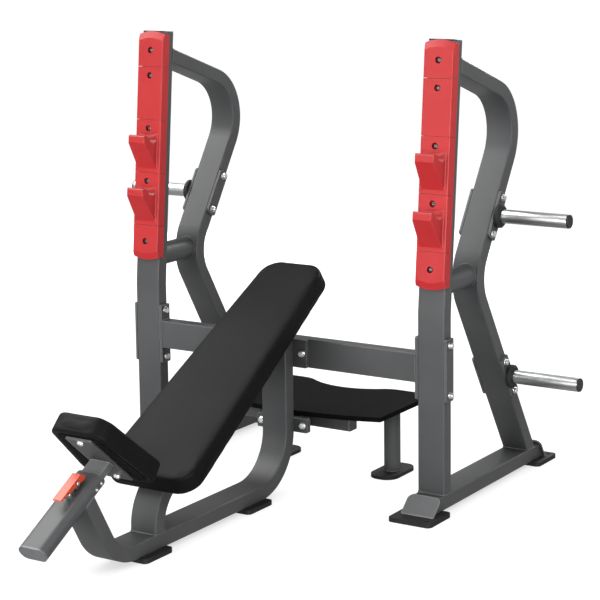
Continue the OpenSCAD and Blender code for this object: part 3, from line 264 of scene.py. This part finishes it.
DRAWN, TURNED = (0.02, 1.0, 1.0), (1.0, 1.0, 1.0)
grey_steel = powder_coat("powder_coated_steel_grey", "#5b5c5d", "#636465", "#8b8c8d")
pale_steel = powder_coat("zinc_sprayed_steel_pale", "#999a9b", "#a3a4a5", "#c4c5c5")
red_cover = moulding("moulded_abs_red", "#d8373a", "#de3c3e", "#ee6a66", 0.42, 4.0, 0.2)
lever_cover = moulding("moulded_nylon_orange", "#f04f2c", "#f65a34", "#ff8e6c", 0.36, 3.0)
black_plastic = moulding("moulded_nylon_black", "#1d1e1f", "#242526", "#4a4b4c", 0.42, 3.0)
grey_plastic = moulding("moulded_nylon_grey", "#6c6e70", "#767879", "#97999b", 0.4, 3.0)
platform_skin = moulding("moulded_polyethylene_black", "#111112", "#161617", "#2c2d2d", 0.6, 6.0, 0.02)
black_rubber = rubber("moulded_rubber_black", "#262627", "#313132")
chrome = plated("chrome_plated_steel", "#acadae", "#a2a3a4", 0.29, 0.33, DRAWN)
staple_steel = plated("black_oxide_steel", "#2a2a2c", "#1c1c1e", 0.35, 0.5, TURNED)
zinc = plated("zinc_plated_steel", "#e6e7e7", "#d6d7d8", 0.25, 0.36, TURNED)
# A darker copy of the zinc for the rack screws: painted shade of the holes they sit sunk in
shaded_zinc = plated("zinc_plated_steel_shaded", "#7c7d7f", "#6c6d6f", 0.3, 0.42, TURNED)
upholstery = vinyl("coated_cloth_black", "#19191a", "#1e1e1f")
dust_cover = lining("woven_dust_cover_black", "#0e0e0f", "#1c1c1d")

finishes = {"grey_powder_coat": grey_steel, "red_moulding": red_cover, "black_plastic": black_plastic,
            "black_rubber": black_rubber, "chrome": chrome, "zinc": zinc, "black_upholstery": upholstery,
            "plywood": dust_cover, "grey_plastic": grey_plastic, "orange_lever": lever_cover,
            "black_moulding": platform_skin}
# Pieces that look otherwise in the photograph than the rest of their slot; the rack screws' darker zinc is
# painted shade
shown = {"rack_screws": shaded_zinc, "seat_stem": pale_steel, "sleeve_cap": grey_plastic}
for piece in frame["record"]["subparts"]:
    mesh = nodes[piece["node"]].data
    mesh.materials.clear()
    mesh.materials.append(shown.get(piece["node"], finishes[piece["material_slot"]]))


# Upholstery

def pad_mesh(node, tilt, centre):
    """The pad's solid, merged and laid flat about its centre, so that the remesh follows its directions."""
    made = bmesh.new()
    made.from_mesh(nodes[node].data)
    bmesh.ops.remove_doubles(made, verts=made.verts, dist=0.02 * MM)
    made.transform(Matrix.Rotation(-tilt, 4, "X") @ Matrix.Translation(-centre))
    return made


def flatten(piece):
    """Applies a piece's modifiers to its mesh."""
    mesh = applied(piece)
    piece.modifiers.clear()
    piece.data = mesh


def swell(pad, cap):
    """Blows the cover up as cloth over its foam, held at the stapled edge, by no more than a cap."""
    rest = [v.co.copy() for v in pad.data.vertices]
    bottom = min(c.z for c in rest)
    held = pad.vertex_groups.new(name="stapled")
    held.add([i for i, c in enumerate(rest) if c.z < bottom + STAPLED_EDGE * MM], 1.0, "REPLACE")
    cloth = pad.modifiers.new("cover", "CLOTH")
    cloth.settings.vertex_group_mass = held.name
    cloth.settings.use_pressure = True
    cloth.settings.uniform_pressure_force = PRESSURE
    cloth.settings.effector_weights.gravity = 0.0
    cloth.settings.quality = CLOTH_QUALITY
    cloth.point_cache.frame_start, cloth.point_cache.frame_end = 1, CLOTH_STEPS
    for step in range(1, CLOTH_STEPS + 1):
        scene.frame_set(step)
    flatten(pad)
    scene.frame_set(1)
    for vertex, start in zip(pad.data.vertices, rest):
        move = vertex.co - start
        if move.length > cap * MM:
            vertex.co = start + move * (cap * MM / move.length)


def upholster(name, node, tilt, cap):
    """A stuffed cover in the place of a pad's solid."""
    low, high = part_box(node)
    centre = (low + high) / 2
    shape = pad_mesh(node, tilt, centre)
    size = [max(v.co[i] for v in shape.verts) - min(v.co[i] for v in shape.verts) for i in range(3)]
    shape.transform(Matrix.Diagonal([1 - 2 * FOAM_GAP * MM / s for s in size] + [1]))
    mesh = bpy.data.meshes.new(name)
    shape.to_mesh(mesh)
    shape.free()
    pad = stand(name, mesh)
    remesh = pad.modifiers.new("foam", "REMESH")
    remesh.mode, remesh.voxel_size = "VOXEL", FOAM_VOXEL * MM
    flatten(pad)
    swell(pad, cap)
    smooth = pad.modifiers.new("soften", "CORRECTIVE_SMOOTH")
    smooth.iterations, smooth.use_only_smooth, smooth.rest_source = SMOOTHING, True, "ORCO"
    flatten(pad)
    pad.data.transform(Matrix.Translation(centre) @ Matrix.Rotation(tilt, 4, "X"))
    for face in pad.data.polygons:
        face.use_smooth = True
    pad.data.materials.clear()
    pad.data.materials.append(upholstery)
    return pad


for name, node, tilt, body, cap in (("back_cushion", "back_pad", INCLINE, "frame", 2.0),
                                    ("seat_cushion", "seat_pad", SEAT_TILT, "seat", 1.5)):
    pad = upholster(name, node, tilt, cap)
    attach(pad, body)
    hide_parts(node)


# Weld beads and staples

def tree_group(name, inputs):
    """A Geometry Nodes tree with a geometry in and out, and named inputs (name: socket kind, default)."""
    tree = bpy.data.node_groups.new(name, "GeometryNodeTree")
    tree.interface.new_socket("Geometry", in_out="INPUT", socket_type="NodeSocketGeometry")
    tree.interface.new_socket("Geometry", in_out="OUTPUT", socket_type="NodeSocketGeometry")
    for key, (kind, value) in inputs.items():
        made = tree.interface.new_socket(key, in_out="INPUT", socket_type=kind)
        if value is not None:
            made.default_value = value
    return tree, add(tree, "NodeGroupInput").outputs, add(tree, "NodeGroupOutput")


def weld_tree():
    """A bead with ripples along each line."""
    tree, given, result = tree_group("weld_bead", {"Radius": ("NodeSocketFloat", 2.4 * MM),
                                                   "Ripple": ("NodeSocketFloat", 2.0 * MM),
                                                   "Swell": ("NodeSocketFloat", 0.14),
                                                   "Finish": ("NodeSocketMaterial", None)})
    line = add(tree, "GeometryNodeResampleCurve", {"Curve": given["Geometry"], "Length": given["Ripple"]},
               mode="LENGTH")
    odd = add(tree, "ShaderNodeMath", {0: add(tree, "GeometryNodeInputIndex"), 1: 2.0}, operation="MODULO")
    thick = add(tree, "ShaderNodeMath", {0: odd, 1: given["Swell"], 2: 1.0}, operation="MULTIPLY_ADD")
    ring = add(tree, "GeometryNodeCurvePrimitiveCircle", {"Resolution": 8, "Radius": given["Radius"]})
    bead = add(tree, "GeometryNodeCurveToMesh", {"Curve": line, "Profile Curve": ring, "Scale": thick})
    soft = add(tree, "GeometryNodeSetShadeSmooth", {"Geometry": bead})
    done = add(tree, "GeometryNodeSetMaterial", {"Geometry": soft, "Material": given["Finish"]})
    feed(tree, result, {0: done})
    return tree


def staple_tree():
    """Staples at an even pitch along each line, each a flat bridge with two legs."""
    tree, given, result = tree_group("staple_row", {"Pitch": ("NodeSocketFloat", 26 * MM),
                                                    "Crown": ("NodeSocketFloat", 11 * MM),
                                                    "Wire": ("NodeSocketFloat", 1.3 * MM),
                                                    "Finish": ("NodeSocketMaterial", None)})
    wire, leg_length, leg_drop, leg_spread = given["Wire"], 3 * MM, 1.2 * MM, 0.45
    line = add(tree, "GeometryNodeResampleCurve", {"Curve": given["Geometry"], "Length": given["Pitch"]},
               mode="LENGTH")
    size = add(tree, "ShaderNodeCombineXYZ", {"X": given["Crown"], "Y": wire, "Z": wire})
    parts = [add(tree, "GeometryNodeMeshCube", {"Size": size})]
    for side in (-leg_spread, leg_spread):
        reach = add(tree, "ShaderNodeMath", {0: given["Crown"], 1: side}, operation="MULTIPLY")
        spot = add(tree, "ShaderNodeCombineXYZ", {"X": reach, "Z": leg_drop})
        stub = add(tree, "ShaderNodeCombineXYZ", {"X": wire, "Y": wire, "Z": leg_length})
        block = add(tree, "GeometryNodeMeshCube", {"Size": stub})
        parts.append(add(tree, "GeometryNodeTransform", {"Geometry": block, "Translation": spot}))
    staple = add(tree, "GeometryNodeJoinGeometry")
    for part in parts:
        feed(tree, staple, {0: part})
    turned = add(tree, "FunctionNodeAlignRotationToVector", {"Vector": add(tree, "GeometryNodeInputTangent")},
                 axis="X", pivot_axis="Z")
    spread = add(tree, "GeometryNodeInstanceOnPoints", {"Points": line, "Instance": staple,
                                                        "Rotation": turned})
    real = add(tree, "GeometryNodeRealizeInstances", {"Geometry": spread})
    done = add(tree, "GeometryNodeSetMaterial", {"Geometry": real, "Material": given["Finish"]})
    feed(tree, result, {0: done})
    return tree


def run_along(name, lines, tree, finish, turn=Matrix.Identity(4)):
    """A plain mesh from a Geometry Nodes tree run along closed lines."""
    curve = bpy.data.curves.new(name + "_line", "CURVE")
    curve.dimensions = "3D"
    for points in lines:
        spline = curve.splines.new("POLY")
        spline.points.add(len(points) - 1)
        for point, co in zip(spline.points, points):
            point.co = (*co, 1.0)
        spline.use_cyclic_u = True
    path = stand(name + "_line", curve)
    modifier = path.modifiers.new(tree.name, "NODES")
    modifier.node_group = tree
    sockets = {item.name: item.identifier for item in tree.interface.items_tree if item.in_out == "INPUT"}
    modifier[sockets["Finish"]] = finish
    mesh = applied(path)
    mesh.name = name
    bpy.data.objects.remove(path)
    mesh.transform(turn)
    return stand(name, mesh)


def tube_section(width, thick, corner):
    """Points round a rounded rectangle."""
    points = []
    for quarter, (sx, sy) in enumerate(((1, 1), (-1, 1), (-1, -1), (1, -1))):
        for step in range(4):
            a = math.radians(90 * quarter + 30 * step)
            points.append((sx * (width / 2 - corner) + corner * math.cos(a),
                           sy * (thick / 2 - corner) + corner * math.sin(a)))
    return points


def round_section(radius, steps=32):
    """Points round a circle."""
    turns = [2 * math.pi * i / steps for i in range(steps)]
    return [(radius * math.cos(a), radius * math.sin(a)) for a in turns]


def meet(section, centre, along, across, plane, normal):
    """The line where a tube of that section, along a direction, meets a plane."""
    along, across, normal = [Vector(v).normalized() for v in (along, across, normal)]
    rise = along.cross(across)
    points = []
    for u, v in section:
        start = Vector(centre) + across * u + rise * v
        points.append(start + along * ((Vector(plane) - start).dot(normal) / along.dot(normal)))
    return [place(*p) for p in points]


def link_saddle(x):
    """Where the round link meets the brace's bend."""
    reach = WAIST_R + TUBE_T / 2
    heading_in = math.atan2(WAIST[1] - KNEE[1], WAIST[0] - KNEE[0])
    heading_out = math.atan2(BRACE_FOOT[1] - WAIST[1], BRACE_FOOT[0] - WAIST[0])
    run = WAIST_R * math.tan(abs(heading_out - heading_in) / 2)
    y = WAIST[0] - run * math.cos(heading_in) - WAIST_R * math.sin(heading_in)
    z = WAIST[1] - run * math.sin(heading_in) + WAIST_R * math.cos(heading_in)
    points = []
    for u, v in round_section(LINK_R):
        height = LINK_Z + v
        points.append(place(x + u, y - math.sqrt(reach ** 2 - (height - z) ** 2), height))
    return points


tube = tube_section(TUBE_W, TUBE_T, TUBE_R)
post_back = ((0, TUBE_T, POST_BEND_Z), (0, math.cos(POST_LEAN), -math.sin(POST_LEAN)))
brace_top_y = TUBE_T + (BRACE_TOP_Z - POST_BEND_Z) * math.tan(POST_LEAN)
brace_top_run = (0, KNEE[0] - brace_top_y, KNEE[1] - BRACE_TOP_Z)
brace_foot_run = (0, BRACE_FOOT[0] - WAIST[0], BRACE_FOOT[1] - WAIST[1])
front_end = -BASE_FRONT + END_PLATE_T / math.sin(FRONT_SLOPE)
rear_end = BASE_REAR - END_PLATE_T / math.sin(REAR_SLOPE)
welds = []
for x in (-UPRIGHT_X, UPRIGHT_X):
    base_top = ((x, 0, BASE_TOP), Z_AXIS)
    front_plate = ((x, front_end, FOOT_T), (0, -math.sin(FRONT_SLOPE), math.cos(FRONT_SLOPE)))
    rear_plate = ((x, rear_end, FOOT_T), (0, math.sin(REAR_SLOPE), math.cos(REAR_SLOPE)))
    welds += [
        meet(tube, (x, TUBE_T / 2, BASE_TOP), Z_AXIS, X_AXIS, *base_top),
        meet(tube, (x, *BRACE_FOOT), brace_foot_run, X_AXIS, *base_top),
        meet(tube, (x, brace_top_y, BRACE_TOP_Z), brace_top_run, X_AXIS, *post_back),
        meet(round_section(LINK_R), (x, TUBE_W, LINK_Z), Y_AXIS, X_AXIS, *post_back),
        meet(tube, (x, 0, BASE_MID), Y_AXIS, X_AXIS, *front_plate),
        meet(tube, (x, 0, BASE_MID), Y_AXIS, X_AXIS, *rear_plate),
        link_saddle(x),
    ]
for x in (-BEAM_END_X, BEAM_END_X):
    welds.append(meet(tube, (0, TUBE_T / 2, BEAM_Z), X_AXIS, Z_AXIS, (x, 0, 0), X_AXIS))
welds.append(meet(tube, (0, -RAIL_Y, BASE_TOP), Z_AXIS, X_AXIS, (0, 0, BASE_TOP), Z_AXIS))
beads = run_along("weld_beads", welds, weld_tree(), grey_steel)
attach(beads, "frame")


def pad_outline(pad, inset, steps=8):
    """A pad's tapered outline with round corners, drawn in by an inset, from its lower edge up."""
    slope = (pad["high"] - pad["low"]) / 2 / pad["length"]
    edge = math.sqrt(1 + slope * slope)
    turn = math.atan(slope)
    r = pad["corner"]
    right = []
    for at, start, stop in ((r, -math.pi / 2, -turn), (pad["length"] - r, -turn, math.pi / 2)):
        cx = pad["low"] / 2 + slope * at - r * edge
        for step in range(steps + 1):
            a = start + (stop - start) * step / steps
            right.append((cx + (r - inset) * math.cos(a), at + (r - inset) * math.sin(a)))
    return right + [(-x, y) for x, y in reversed(right)]


def staple_row(name, pad, node, tilt, body):
    """Staples that hold the covering to the board, on the pad's underside."""
    low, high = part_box(node)
    centre = (low + high) / 2
    flat = [Matrix.Rotation(-tilt, 4, "X") @ (v.co - centre) for v in nodes[node].data.vertices]
    bottom = min(c.z for c in flat) + STAPLE_LIFT * MM
    start = min(c.y for c in flat)
    line = [Vector((x * MM, start + y * MM, bottom)) for x, y in pad_outline(pad, STAPLE_INSET)]
    turn = Matrix.Translation(centre) @ Matrix.Rotation(tilt, 4, "X")
    row = run_along(name, [line], staple_tree(), staple_steel, turn)
    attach(row, body)


staple_row("back_staples", BACK_PAD, "back_pad", INCLINE, "frame")
staple_row("seat_staples", SEAT_PAD, "seat_pad", SEAT_TILT, "seat")


# Stage, light and camera, in metres

def area_lamp(name, at, aim, size, power, diffuse=True, glossy=True):
    """A round softbox. One that isn't diffuse shows in gloss alone, as a reflector card does, and one that
    isn't glossy gives light without a reflection of itself."""
    lamp = bpy.data.lights.new(name, "AREA")
    lamp.shape, lamp.size, lamp.energy = "DISK", size, power
    made = stand(name, lamp)
    made.location, made.visible_diffuse, made.visible_glossy = at, diffuse, glossy
    made.rotation_euler = (Vector(aim) - Vector(at)).to_track_quat("-Z", "Y").to_euler()


def white_behind(tree, ambient, mirrored):
    """Strength of a white that the camera sees in full, gloss and clear things in part, the rest dimly."""
    path = add(tree, "ShaderNodeLightPath").outputs
    some = add(tree, "ShaderNodeMath", {0: path["Is Glossy Ray"], 1: path["Is Transmission Ray"]},
               operation="MAXIMUM")
    gloss = add(tree, "ShaderNodeMix", {"Factor": some, "A": ambient, "B": mirrored}, data_type="FLOAT")
    return add(tree, "ShaderNodeMath", {0: gloss, 1: path["Is Camera Ray"]}, operation="MAXIMUM")


FLOOR_REACH = 60.0
WHITE = (1.0, 1.0, 1.0)
floor_mesh = bpy.data.meshes.new("studio_floor")
corners = ((-1, -1), (1, -1), (1, 1), (-1, 1))
floor_mesh.from_pydata([(x * FLOOR_REACH, y * FLOOR_REACH, 0) for x, y in corners], [], [(0, 1, 2, 3)])
floor = stand("studio_floor", floor_mesh)
pale, tree, shader, _ = blank("studio_floor_white", Roughness=0.9, Specular_IOR_Level=0.0)
shader.inputs["Base Color"].default_value = (0.36, 0.36, 0.36, 1.0)
# White that darkens where the feet stand: a painted shadow, which is the shadow the floor keeps
feed(tree, shader, {"Emission Color": painted_shade(tree, WHITE, 150.0, 0.62),
                    "Emission Strength": white_behind(tree, 0.0, 0.4)})
floor_mesh.materials.append(pale)
floor.visible_shadow = False

# White all round, and in gloss only from the left, as in the photograph
world = bpy.data.worlds.new("studio")
scene.world = world
world.use_nodes = True
sky = world.node_tree
back = sky.nodes["Background"]
towards = add(sky, "ShaderNodeSeparateXYZ", {0: add(sky, "ShaderNodeTexCoord").outputs["Generated"]})
left = add(sky, "ShaderNodeMapRange", {"Value": towards.outputs["X"], "From Min": 0.1, "From Max": -0.4,
                                       "To Max": 0.8})
feed(sky, back, {"Color": (*WHITE, 1.0), "Strength": white_behind(sky, 0.1, left)})

area_lamp("front_softbox", (-1.4, -5.2, 1.7), (0, 0, 0.7), 4.6, 200.0)
area_lamp("fill_softbox", (3.2, -5.2, 1.4), (0, 0, 0.5), 2.0, 105.0)
area_lamp("right_softbox", (3.8, -0.4, 3.2), (0, 0, 0.8), 2.4, 60.0)
area_lamp("top_card", (-3.0, -0.7, 4.8), (0, -0.3, 0.6), 4.6, 540.0, diffuse=False)
area_lamp("edge_card", (4.4, -2.8, 0.9), (0, 0, 0.7), 2.0, 300.0, diffuse=False)
area_lamp("rear_card", (0.4, 4.8, 3.2), (0, 0, 0.4), 1.6, 150.0, diffuse=False)
area_lamp("rear_softbox", (3.4, 5.0, 2.6), (0, 0, 0.8), 2.6, 45.0)
area_lamp("rear_fill", (-3.0, 4.8, 1.3), (0, 0, 0.7), 2.6, 130.0, glossy=False)

# The photograph's camera, fitted to the part's edges in pixels of a 600 x 600 frame, with a small lens shift
YAW, PITCH, ROLL = 0.57008, 0.15917, -0.01239
PIXELS, FOCAL, CENTRE_Y = 600.0, 1924.44, 220.0
CAMERA_AT = (3.56002, -5.43422 - MIDDLE_Y * MM, 1.98648)
ahead = Vector((-math.sin(YAW) * math.cos(PITCH), math.cos(YAW) * math.cos(PITCH), -math.sin(PITCH)))
level = Vector((math.cos(YAW), math.sin(YAW), 0.0))
upright = level.cross(ahead)
right = math.cos(ROLL) * level + math.sin(ROLL) * upright
up = -math.sin(ROLL) * level + math.cos(ROLL) * upright
lens = bpy.data.cameras.new("photo_camera")
lens.sensor_width = 36.0
lens.lens = FOCAL / PIXELS * lens.sensor_width
lens.shift_y = (CENTRE_Y - PIXELS / 2) / PIXELS
lens.clip_end = 200.0
camera = stand("photo_camera", lens)
camera.matrix_world = Matrix.Translation(CAMERA_AT) @ Matrix((right, up, -ahead)).transposed().to_4x4()
scene.camera = camera
scene.view_settings.view_transform = "Standard"

bpy.context.view_layer.update()
